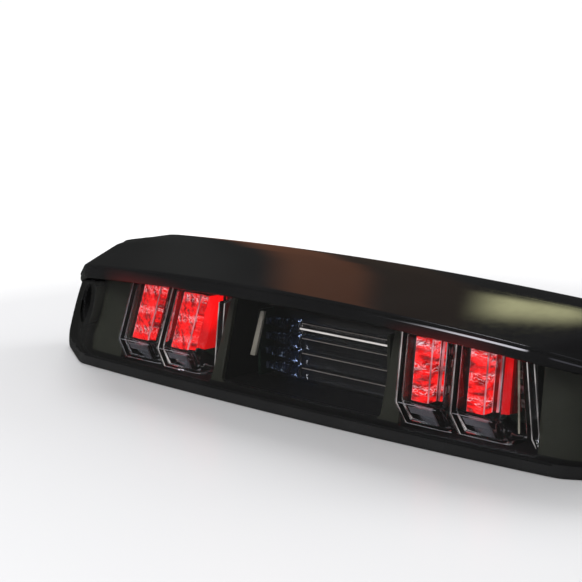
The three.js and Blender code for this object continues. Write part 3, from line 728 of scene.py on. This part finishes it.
def make_bezel():
    """Dark plate behind the lens, open at the towers, the cargo lamp and the screw recesses."""
    front, back, inset, side_inset, rounding = 9, 11, 3, 3.4, 2.0
    bm = bmesh.new()
    edges = []
    for depth in (front, back):
        rows = []
        for x in stations(HALF - side_inset, 120):
            low = lens_bottom(x) + inset
            high = max(lens_top(x) - inset, low + 3)
            points = []
            for z in [low + (high - low) * j / 16 for j in range(17)]:
                y = lens_y(x, z) + depth
                limit = side_half(y) - side_inset
                points.append((max(-limit, min(limit, x)), y, z))
            rows.append(add_points(bm, points))
        bridge(bm, rows, closed=False)
        edges.append([rows[i][j] for i, j in border(rows)])
    bridge(bm, edges)
    plate = taper(to_object("bezel_plate", bm))
    low, high = TOWER_FLOOR - 0.6, TOWER_TOP + 1
    tools = []
    for _, side, (first, _), fin in PAIRS:
        left, right = first - 1, fin + FIN_WIDTH + 2
        outline = [(left + lean(side, low), low), (right + lean(side, low), low),
                   (right + lean(side, high), high), (left + lean(side, high), high)]
        tools.append(prism("opening", outline, -FAR, FAR, "Y", rounding))
    half, low, high = 52.9, 7.1, 49.4
    cargo = [(-half, low), (half, low), (half, high), (-half, high)]
    tools.append(prism("opening", cargo, -FAR, FAR, "Y", rounding))
    tools += [drill(CUP + 0.6, -FAR, FAR, s * SCREW_X, SCREW_Z) for s in (-1, 1)]
    return soften(cut(plate, *tools), 0.5)


# ---- brake light ----
def tower_profile(x, inset, back):
    """Side view of a tower: a raked front above a knee, and a foot that runs back to the floor."""
    top, floor = TOWER_TOP - inset, TOWER_FLOOR + inset
    knee = tower_front(x, KNEE_Z)
    return [(tower_front(x, top) + inset, top), (knee + inset, KNEE_Z + inset * 0.4),
            (knee + 6 + inset, floor), (back, floor), (back, top)]


def leaned(obj, side):
    """Leans a piece with the towers of its side."""
    for v in obj.data.vertices:
        v.co.x += lean(side, v.co.z / MM) * MM
    return obj


def cross_bar(name, y, z, x0, x1, size):
    """Thin square bar with soft edges along the lamp."""
    h = size / 2
    return prism(name, [(y - h, z), (y, z - h), (y + h, z), (y, z + h)], x0, x1, "X", 0.08, 2, 60)


def bar(name, points, size):
    """Thin square bar along a line of points."""
    h = size / 2
    bm = bmesh.new()
    tube(bm, [add_points(bm, [(x - h, y, z), (x, y - h, z), (x + h, y, z), (x, y + h, z)])
              for x, y, z in points])
    return to_object(name, bm, 60)


def make_tower(tag, x):
    """Clear cover, open at the back: sharp on the left, with one large round edge at the front right."""
    wall, round_edge = 1.8, 4.6
    bm = bmesh.new()
    profile = tower_profile(x, 0, TOWER_BACK)
    rings = [add_points(bm, [(at, y, z) for y, z in profile]) for at in (x, x + TOWER_WIDTH)]
    tube(bm, rings)
    front = [bm.edges.get((rings[1][i], rings[1][i + 1])) for i in (0, 1)]
    round_off(bm, front, round_edge, 7, clamp=False)
    sharp = [e for e in bm.edges if e.calc_face_angle(0) > math.radians(20)]
    round_off(bm, sharp, 0.7, 2)
    cover = to_object(f"tower_glass_{tag}", bm, 25)
    hollow = tower_profile(x, wall, TOWER_BACK + 5)
    room = prism("room", hollow, x + wall, x + TOWER_WIDTH - wall, "X", 1.4, 3, 25)
    return cut(cover, room, sharp=25)


def make_optic(tag, x, side):
    """Red light guide: a ribbed front strip with a shallow side, on a slimmer body."""
    width, depth = STRIP[side]
    top, low = TOWER_TOP - 2.8, KNEE_Z + 1.5
    ribs, steps, across = 11, 6, 24
    up = ribs * steps

    def front(u, z, j):
        crown = math.sqrt(max(1 - (2 * u / width - 1) ** 2, 0.0))
        rib = abs(math.sin(math.pi * (j % steps) / steps)) * min(crown * 2, 1)
        return tower_front(x, z) + STRIP_SETBACK - 0.5 * crown - 0.45 * rib

    bm = bmesh.new()
    zs = [low + (top - low) * j / up for j in range(up + 1)]
    grid = []
    for i in range(across + 1):
        u = width * (1 - math.cos(math.pi * i / across)) / 2
        grid.append(add_points(bm, [(x + STRIP_LEFT + u, front(u, z, j), z) for j, z in enumerate(zs)]))
    bridge(bm, grid, closed=False)
    edge = [grid[i][j] for i, j in border(grid)]
    back = []
    for v in edge:
        y = tower_front(x, v.co.z / MM) + STRIP_SETBACK + depth
        back.append(bm.verts.new((v.co.x, y * MM, v.co.z)))
    bridge(bm, [edge, back])
    bm.faces.new(back)
    return to_object(f"light_guide_{tag}", bm, 50)


def make_guide_body(tag, x, side, full):
    """Rear part of the light guide, down to the light sources: slim, or filling the tower."""
    width, depth = STRIP[side]
    right = x + (TOWER_WIDTH - 2.6 if full else STRIP_LEFT - 1.5 + width)
    setback = STRIP_SETBACK + depth + 0.4
    back = TOWER_BACK - 1.4
    top, low = TOWER_TOP - 3.5, KNEE_Z + 2
    profile = [(tower_front(x, low) + setback, low), (back, low), (back, top),
               (tower_front(x, top) + setback, top)]
    return prism(f"guide_body_{tag}", profile, x + STRIP_LEFT + 1.5, right, "X", 0.4, 2)


def make_foot(tag, x):
    """Frosted step inside the foot of a cover."""
    knee = tower_front(x, KNEE_Z)
    top, low = KNEE_Z - 0.8, TOWER_FLOOR + 3
    profile = [(knee + 2.6, top), (knee + 7.2, low), (knee + 8, low), (knee + 3.4, top)]
    return prism(f"cover_foot_{tag}", profile, x + 5.5, x + 20, "X", 0.2, 2)


def build_tower(tag, x, side, last):
    """One tower; the last one of a pair has a light guide that fills it."""
    knee = tower_front(x, KNEE_Z)

    def upright(name, right, setback, heights, size):
        """Bar that follows the front of the tower."""
        return bar(name, [(x + right, tower_front(x, z) + setback, z) for z in heights], size)

    def add(piece, part, finish=None):
        place(leaned(piece, side), f"tower_{part}_{tag}", finish)

    add(make_tower(tag, x), "cover")
    add(make_optic(tag, x, side), "optic", "red_slanted" if side == -1 else "red_optic")
    # Bead down the left front edge of the cover and round its foot, which glows as a painted highlight.
    rim = [(x + 0.3, tower_front(x, z) + 0.3, z) for z in (TOWER_TOP - 1, KNEE_Z)]
    rim.append((x + 0.6, knee + 6, TOWER_FLOOR + 0.7))
    finish = {"left_1": "dim_rim_highlight", "left_2": "rim_highlight_weaker_above"}.get(tag, "bright_rim_highlight")
    add(bar(f"cover_edge_highlight_{tag}", rim, 0.6), "cover", finish)
    right = x + TOWER_WIDTH
    # Thin bars along the sill and the knee of the cover, which glow faintly as painted highlights.
    sill = cross_bar(f"cover_sill_{tag}", knee + 6.2, TOWER_FLOOR + 0.8, x + 1, right - 1.5, 0.5)
    add(sill, "cover", "dim_rim_highlight")
    add(cross_bar(f"cover_knee_{tag}", knee + 0.5, KNEE_Z, x + 1, right - 5, 0.4), "cover", "dim_rim_highlight")
    if side == 1:
        # A post that glows as a painted grey reflection, much brighter in its upper part.
        add(upright(f"cover_post_{tag}", 20.8, 7.2, (TOWER_TOP - 3, 34, 20), 2.0), "cover", "grey_post_reflection")
    body = make_guide_body(tag, x, side, last)
    add(body, "optic", "red_bright" if tag == "left_2" else "red_body")
    add(make_foot(tag, x), "cover", "frosted")
    # Fine pale beads on the red strip: two along its front and one along the back of its side; they glow
    # paler than the lit strip, as painted highlights on its edges.
    width, depth = STRIP[side]
    low, high = KNEE_Z + 1.6, TOWER_TOP - 3
    beads = ((0, 0, 0.5), (width, 0, 1.0), (width + 0.05, depth - 0.4, 0.6))
    for k, (along, back, size) in enumerate(beads, 1):
        heights = (high, (low + high) / 2, low)
        bead = upright(f"guide_line_{tag}_{k}", STRIP_LEFT + along, STRIP_SETBACK + back, heights, size)
        add(bead, "optic", "pale_red")
    if tag == "right_2":
        # A bar beside the guide that glows bright red: painted red light sent back by the reflector.
        hot = upright("painted_red_reflection_bar", 24.4, 8.8, (TOWER_TOP - 3.5, 33, KNEE_Z + 2), 2.6)
        add(hot, "optic", "red_bright")
        # An upright bar at the edge of the cover that glows as a painted olive reflection.
        olive = [(x + 27.3, -4.8, TOWER_TOP - 3), (x + 27.3, -8.8, 10)]
        add(bar("cover_post_edge", olive, 1.6), "cover", "olive_post_reflection")


def build_fin(name, x, side):
    """Clear upright plate beside a pair, with a bead down both front edges that glows as a painted
    highlight.
    """
    top, front, chamfer_y, chamfer_z = 46, -14.4, -11.9, 10.5
    profile = [(front, top), (front, chamfer_z), (chamfer_y, TOWER_FLOOR), (TOWER_BACK, TOWER_FLOOR),
               (TOWER_BACK, top)]
    plate = prism(f"fin_{name}", profile, x, x + FIN_WIDTH, "X", 0.9, 3)
    place(leaned(plate, side), f"end_fin_{name}")
    for k, at in enumerate((x + 0.2, x + FIN_WIDTH - 0.2), 1):
        points = [(at, front + 0.1, top - 0.7), (at, front + 0.1, chamfer_z - 0.1),
                  (at, chamfer_y + 0.1, TOWER_FLOOR + 0.4)]
        place(leaned(bar(f"fin_edge_highlight_{name}_{k}", points, 0.6), side), f"end_fin_{name}", "bright_rim_highlight")


# ---- cargo lamp ----
def make_rod(i, z):
    """Clear rod with chamfered ends."""
    low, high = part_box(f"cargo_rod_{i}")
    x0, x1 = low.x / MM, high.x / MM
    r, chamfer = ROD_RADIUS, 0.7
    profile = [(0, x0), (r - chamfer, x0), (r, x0 + chamfer), (r, x1 - chamfer), (r - chamfer, x1), (0, x1)]
    return turned(f"light_rod_{i}", profile, (ROD_Y, z), "X", 40)


def make_collimator(i, z):
    """Faceted collimator with stepped rings."""
    low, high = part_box(f"cargo_collimator_{i}")
    x0, x1 = low.x / MM, high.x / MM
    length = x1 - x0
    narrow, wide, steps = 1.9, 3.5, 4
    profile = [(0, x0 + 1.2), (1.2, x0), (narrow, x0)]
    for k in range(1, steps + 1):
        t = k / steps
        radius = narrow + (wide - narrow) * t
        at = x0 + length * 0.62 * t
        profile += [(radius, at - 0.4), (radius - 0.35, at + 0.5)]
    profile += [(wide, x0 + length * 0.72), (wide, x1 - 1), (wide - 0.5, x1), (0, x1 - 0.6)]
    return turned(f"light_cone_{i}", profile, (ROD_Y, z), "X", 9, 20)


def build_cargo():
    """Four clear rods with their collimators, and the pale board that carries the light sources."""
    for i in range(1, 5):
        low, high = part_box(f"cargo_rod_{i}")
        z, x0, x1 = (low.z + high.z) / 2 / MM, low.x / MM, high.x / MM
        place(make_rod(i, z), f"cargo_rod_{i}")
        place(make_collimator(i, z), f"cargo_collimator_{i}", "cool_plastic")
        # A faint line along every rod, which glows as a painted highlight.
        ridge = cross_bar(f"rod_faint_highlight_{i}", ROD_Y - 2.3, z + 2.4, x0 + 2, x1 - 1, 0.5)
        place(ridge, f"cargo_rod_{i}", "faint_rod_highlight")
    # A pale line along the front of the top rod, which glows as a painted highlight.
    line = cross_bar("top_rod_highlight", ROD_Y - ROD_RADIUS, z - 0.2, x0 + 1.5, x1 - 0.5, 1.0)
    place(line, "cargo_rod_4", "top_rod_highlight")
    low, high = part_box("cargo_board")
    x0, x1, y0, y1, z0, z1 = (c / MM for pair in zip(low, high) for c in pair)
    section = [(y0 + 1.8, z0), (y1, z0), (y1, z1), (y0 + 1.8, z1)]
    place(prism("cargo_board_plate", section, x0, x1, "X", 0.2, 2), "cargo_board", "board")
    corners = [(x0 - 4, z0 + 10), (x0 - 0.6, z0 + 10), (x1 + 4.5, z1), (x1 + 1.8, z1)]
    place(prism("cargo_board_edge", corners, y0, y0 + 1.6, "Y", 0.2, 2), "cargo_board")


def build_lights():
    for name, side, edges, fin in PAIRS:
        for k, x in enumerate(edges, 1):
            build_tower(f"{name}_{k}", x, side, k == len(edges))
        build_fin(name, fin, side)
    build_cargo()


# ---- housing and what holds it ----
def housing_body(name, inset, back, front):
    """Solid inside the outer skin, from a front plane to the back wall."""
    def outline(x):
        ax = abs(x) + inset
        y1 = min(rear_limit(ax), REAR_Y) - back
        ys = [front + (y1 - front) * (1 - (1 - i / 22) ** 2) for i in range(23)]
        low = [(y, corner_z(side_half(y) - ax) + inset + fillet(y1 - y, 1.6)) for y in ys]
        high = [(y, top_z(x, y) - SKIN - 0.5 - inset - fillet(y1 - y, 1.6)) for y in ys]
        return low + high[::-1]

    return loft(name, stations(HALF - inset - 1.2, 150), outline)


def make_housing():
    """Rear shell: hollow, open behind the lens, with holes for the screws, the lead and the vent."""
    body = taper(housing_body("housing_shell", 0.0, 0.0, -45))

    def ahead(x):
        zs = [-12 + 5 * i for i in range(21)]
        return [(-90, zs[0])] + [(lens_y(x, z) + SEAL_DEPTH, z) for z in zs] + [(-90, zs[-1])]

    tools = [loft("ahead", stations(HALF + 6, 150), ahead)]
    tools.append(taper(housing_body("room", WALL, BACK_WALL, -46)))
    for s in (-1, 1):
        tools.append(drill(STEM_BORE, 5, FAR, s * SCREW_X, SCREW_Z))
        tools.append(drill(CUP + 0.3, -FAR, SEAT_Y + 3.3, s * SCREW_X, SCREW_Z))
    for node, flange in (("wire_grommet", 2.4), ("breather_vent", 2.3)):
        low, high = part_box(node)
        middle = (low + high) / 2 / MM
        tools.append(drill((high.x - low.x) / 2 / MM - flange, 20, FAR, middle.x, middle.z))
    return soften(cut(body, *tools), 0.4)


def make_back_ribs():
    """Stiffening ribs on the back, inside the gasket: upright ones and long ones on each half."""
    half, low, high = 0.8, 9, 49
    bm = bmesh.new()
    boxes = [(s * x - half, s * x + half, low, high) for s in (-1, 1) for x in (52, 84, 116, 148)]
    boxes += [(x, x + 96, z - half, z + half) for x in (-148, 52) for z in (19, 39)]
    for x0, x1, z0, z1 in boxes:
        flat = ((x0, z0), (x1, z0), (x1, z1), (x0, z1))
        tube(bm, [add_points(bm, [(x, y, z) for x, z in flat]) for y in (REAR_Y - 0.2, REAR_Y + 1.8)])
    return soften(to_object("housing_ribs", bm), 0.3)


def make_cup(name, side):
    """Deep cup round the head of a mounting screw, on a stem down to the back wall."""
    x, end = side * SCREW_X, REAR_Y - BACK_WALL - 0.3
    seat, floor = SEAT_Y, SEAT_Y + 3
    profile = [(STEM_BORE, seat), (RECESS - 0.6, seat), (RECESS, seat - 0.6), (RECESS, -50), (CUP, -50),
               (CUP, floor - 0.6), (CUP - 0.6, floor), (STEM, floor), (STEM, end), (STEM_BORE, end)]
    cup = turned(f"screw_well_{name}", profile, (x, SCREW_Z), segments=96)

    def ahead(at):
        behind = LENS_WALL + 0.3
        return [(-90, -12), (lens_y(at, -12) + behind, -12), (lens_y(at, 80) + behind, 80), (-90, 80)]

    low, high = sorted((side * (SCREW_X - 20), side * (HALF + 6)))
    front = loft("ahead", [low + (high - low) * i / 40 for i in range(41)], ahead)
    return soften(cut(cup, front), 0.3)


def make_sleeve(name, side):
    """Steel sleeve with chamfered ends that the mounting screw passes through."""
    low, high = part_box(f"screw_sleeve_{name}")
    y0, y1 = low.y / MM, high.y / MM
    bore, radius = 3.2, 4.9
    profile = [(bore, y0 + 0.5), (bore + 0.5, y0), (radius - 0.4, y0), (radius, y0 + 0.4),
               (radius, y1 - 0.4), (radius - 0.4, y1), (bore + 0.5, y1), (bore, y1 - 0.5)]
    return turned(f"steel_sleeve_{name}", profile, (side * SCREW_X, SCREW_Z), segments=64)


def on_lens_edge(x, y, z):
    """Border of the lens, where its rim is welded to the housing."""
    return z < lens_bottom(x) + 5.5 or abs(x) > HALF - 3 or y > lens_y(x, z) + LENS_WALL + 0.6


def on_cup_flank(x, y, z):
    """Outside of a screw cup, on the side that faces the lights, which is painted lighter in the bezel's
    finish, as lit.
    """
    across = SCREW_X - abs(x)
    return across > 7.5 and math.hypot(across, z - SCREW_Z) > CUP - 0.9


def in_bezel_shade(x, y, z):
    """Part of the bezel outside the bend of the lens, and its lower edge, which are painted darker as shade.
    """
    return abs(x) > BEND_X + 9 - BEND_LEAN * z or z < 7.5


def build_outside():
    place(make_visor(), "visor")
    place(make_housing(), "rear_housing")
    place(make_back_ribs(), "rear_housing")
    for name, side in (("left", -1), ("right", 1)):
        # Screw cups: dark lens border finish, with the flank that faces the lights painted lighter as lit.
        place(make_cup(name, side), f"screw_cup_{name}", "lens_edge", "bezel_black", on_cup_flank)
        place(make_sleeve(name, side), f"screw_sleeve_{name}")
    place(make_lens(), "outer_lens", None, "lens_edge", on_lens_edge)
    # The bezel's ends and lower edge get the darker copy, as painted shade.
    place(make_bezel(), "inner_bezel", None, "bezel_shade", in_bezel_shade)


def dress_cad():
    """Materials and soft edges on the CAD nodes that still show."""
    # The cargo pocket gets the darker plastic as painted shade in its recess.
    special = {"cargo_pocket": "pocket_shade"}
    special.update((f"cargo_led_{i}", "led_unlit") for i in range(1, 5))
    for name, node in frame["nodes"].items():
        if node.hide_render:
            continue
        node.data.materials.clear()
        node.data.materials.append(M[special.get(name) or SLOTS[name]])
        soft_edges(node, 0.25, 32)


# ---- stage ----
def build_camera():
    """Long lens from the front right, a little above the lamp."""
    data = bpy.data.cameras.new("camera")
    data.lens, data.sensor_width = 111.34, 36
    data.clip_start, data.clip_end = 0.01, 50
    cam = new_object("camera", data)
    cam.location = (0.5813, -0.6505, 0.2296)
    cam.rotation_euler = (math.pi / 2 - 0.19483, 0, math.radians(43))
    bpy.context.scene.camera = cam


def new_light(name, kind, power, direction):
    """Light from a direction, which the gloss does not mirror."""
    lamp = new_object(name, bpy.data.lights.new(name, kind))
    lamp.data.energy = power
    lamp.rotation_euler = Vector(direction).to_track_quat("Z", "Y").to_euler()
    lamp.visible_glossy = False
    return lamp


def build_sun():
    """Wide, soft daylight from behind on the left."""
    new_light("window_light", "SUN", 2.0, (-1.1, 1.0, 1.25)).data.angle = math.radians(30)


def softbox(name, location, target, size, power):
    """Soft area light that the camera does not see."""
    lamp = new_light(name, "AREA", power, Vector(location) - Vector(target))
    lamp.location = location
    lamp.data.shape, lamp.data.size, lamp.data.size_y = "RECTANGLE", *size
    lamp.visible_camera = False


def build_floor():
    """Pale matt floor, painted a little darker close to the lamp as its shade, with a faint mirror image."""
    half = 15
    bm = bmesh.new()
    corners = ((-half, -half), (half, -half), (half, half), (-half, half))
    bm.faces.new([bm.verts.new((x, y, 0)) for x, y in corners])
    floor = to_object("floor", bm)
    mat, graph, shader = new_material("floor", Roughness=1, Specular_IOR_Level=0)
    length = graph.add("VectorMath")
    length.operation = "LENGTH"
    graph.link(graph.here(), length.inputs[0])
    # Painted shade: the floor's colour is darker close to the lamp.
    away = graph.ranged(length.outputs["Value"], 0, 1, 0.15, 0.8)
    colour = graph.ramp(away, (0.0, (0.57, 0.57, 0.58)), (0.26, (0.60, 0.60, 0.61)),
                        (0.55, (0.90, 0.90, 0.90)), (0.8, (0.97, 0.97, 0.97)))
    graph.link(colour, shader.inputs["Base Color"])
    graph.show(graph.blend(0.07, shader, graph.add("BsdfGlossy", Roughness=0.22)))
    floor.data.materials.append(mat)
    floor.visible_glossy = False


# Soft cards that the gloss mirrors, in degrees: azimuths (from +Y towards +X), elevations, how far
# the elevations climb for each degree of azimuth, and blur; and then the colour.
CARDS = (
    ((-51.0, -48.0), (-10, 60), 0, 1.4, (0.050, 0.052, 0.049)),
    ((-46.0, -42.4), (-10, 60), 0, 0.9, (0.25, 0.105, 0.058)),
    ((-42.2, -38.6), (-10, 60), 0, 0.9, (0.068, 0.048, 0.034)),
    ((-38.3, -34.6), (59.2, 62.1), 0.9, 1.0, (1.9, 1.86, 1.05)),
    ((-155, -145), (22, 36), 0, 3.0, (13, 13, 14)),
    ((100, 136), (4, 18), 0, 3.0, (1.1, 1.1, 1.3)),
)


def build_world():
    """White to the eye, and a dark studio with a few soft cards for what the gloss mirrors."""
    world = bpy.data.worlds.new("studio")
    world.use_nodes = True
    bpy.context.scene.world = world
    graph = Graph(world.node_tree)
    white = graph.nodes["Background"]
    white.inputs["Color"].default_value = (1, 1, 1, 1)
    x, y, z = graph.xyz(graph.add("TexCoord").outputs["Generated"])
    azimuth = graph.math("DEGREES", graph.math("ARCTAN2", x, y))
    elevation = graph.math("DEGREES", graph.math("ARCSINE", z))
    total = graph.ramp(graph.ranged(y, 0, 1, -1, 1),
                       (0.0, (0.08, 0.081, 0.078)), (0.45, (0.09, 0.09, 0.085)),
                       (0.6, (0.035, 0.035, 0.034)), (0.8, (0.032, 0.033, 0.031)))
    for (left, right), (low, high), climb, blur, colour in CARDS:
        level = graph.math("SUBTRACT", elevation, graph.math("MULTIPLY", azimuth, climb))
        across = graph.band(azimuth, left, right, blur)
        up = graph.band(level, low, high, blur)
        total = graph.mixed(graph.math("MULTIPLY", across, up), total, colour)
    mirrored = graph.add("Background")
    graph.link(total, mirrored.inputs["Color"])
    path = graph.add("LightPath")
    # What lights the lamp is weaker than what the camera sees behind it.
    graph.link(graph.ranged(path.outputs["Is Camera Ray"], 0.72, 1.1, 0, 1), white.inputs["Strength"])
    graph.show(graph.blend(path.outputs["Is Glossy Ray"], white, mirrored))


def build_stage():
    build_camera()
    build_floor()
    build_world()
    build_sun()
    softbox("softbox_front", (-0.5, -1.2, 0.9), (0, 0, 0.02), (0.8, 0.5), 16)
    softbox("softbox_rear", (0.6, 1.3, 0.7), (0, 0, 0.03), (0.9, 0.6), 9)
    scene = bpy.context.scene
    scene.view_settings.view_transform = "Standard"
    scene.cycles.transparent_max_bounces = 24
    scene.cycles.max_bounces = 16
    scene.cycles.transmission_bounces = 14


build_stage()
build_lights()
build_outside()
dress_cad()
